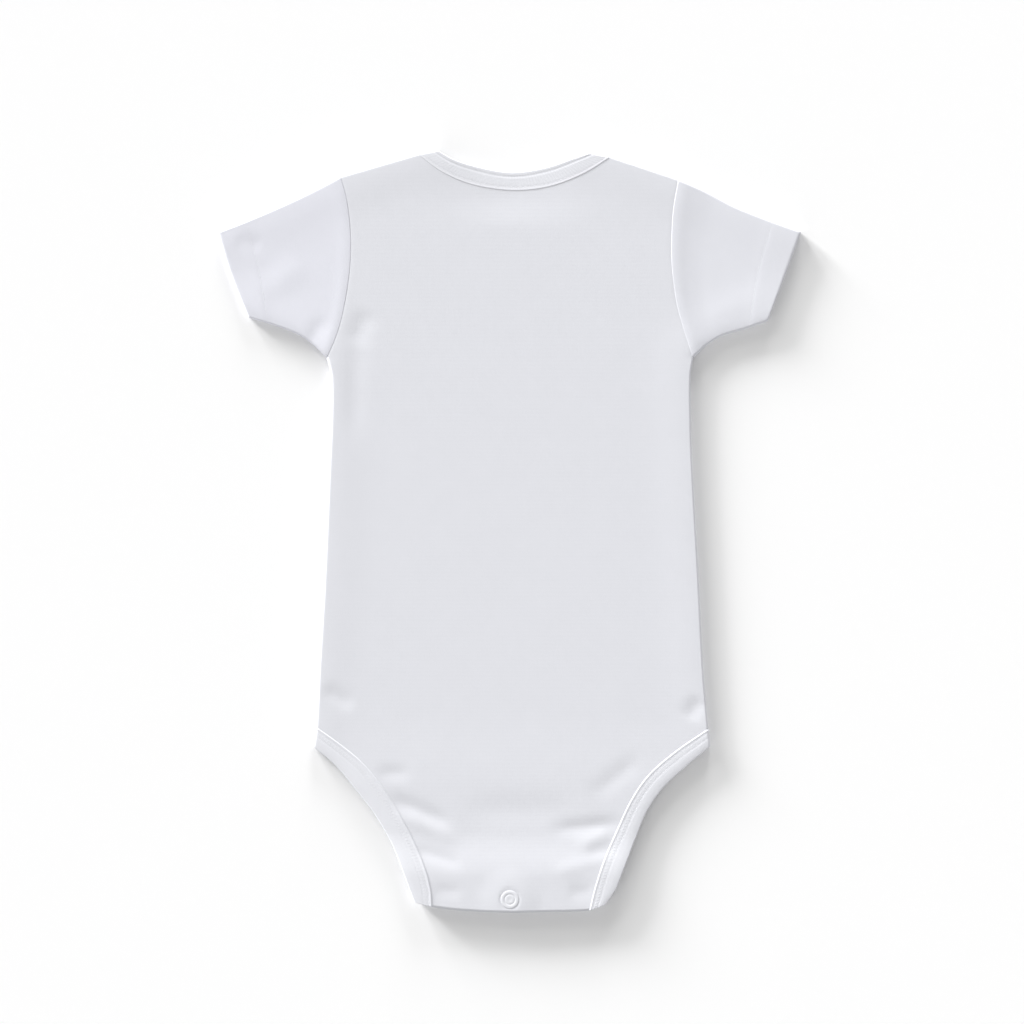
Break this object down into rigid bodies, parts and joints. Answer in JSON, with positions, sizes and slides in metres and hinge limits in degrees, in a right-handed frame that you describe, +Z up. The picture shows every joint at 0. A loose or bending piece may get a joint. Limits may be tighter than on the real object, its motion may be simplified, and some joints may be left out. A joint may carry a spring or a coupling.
{
  "type": "short-sleeved baby bodysuit (onesie), laid flat",
  "caption": "White short-sleeved baby bodysuit laid flat with its back up, with envelope shoulders, rib-bound neck and legs and a crotch snap.",
  "frame": {"origin": "on the surface that the garment lies on, under the middle of its outline's box", "axes": "+X to the garment's right as it lies with its back up, +Y from the crotch to the neck, +Z up out of the surface"},
  "size_m": [0.3059, 0.4003, 0.0072],
  "materials": {
    "jersey": "soft white cotton interlock jersey",
    "rib": "white one-by-one cotton rib, stitched",
    "snap": "white enamelled press snap"
  },
  "bodies": {
    "root": {"back_panel": "jersey", "front_panel": "jersey", "sleeve_left": "jersey", "sleeve_right": "jersey", "neck_binding_back": "rib", "neck_binding_front": "rib", "leg_binding_left": "rib", "leg_binding_right": "rib", "snap_cap_back": "snap", "snap_stud": "snap", "snap_socket": "snap", "snap_cap_front": "snap"}
  },
  "joints": []
}
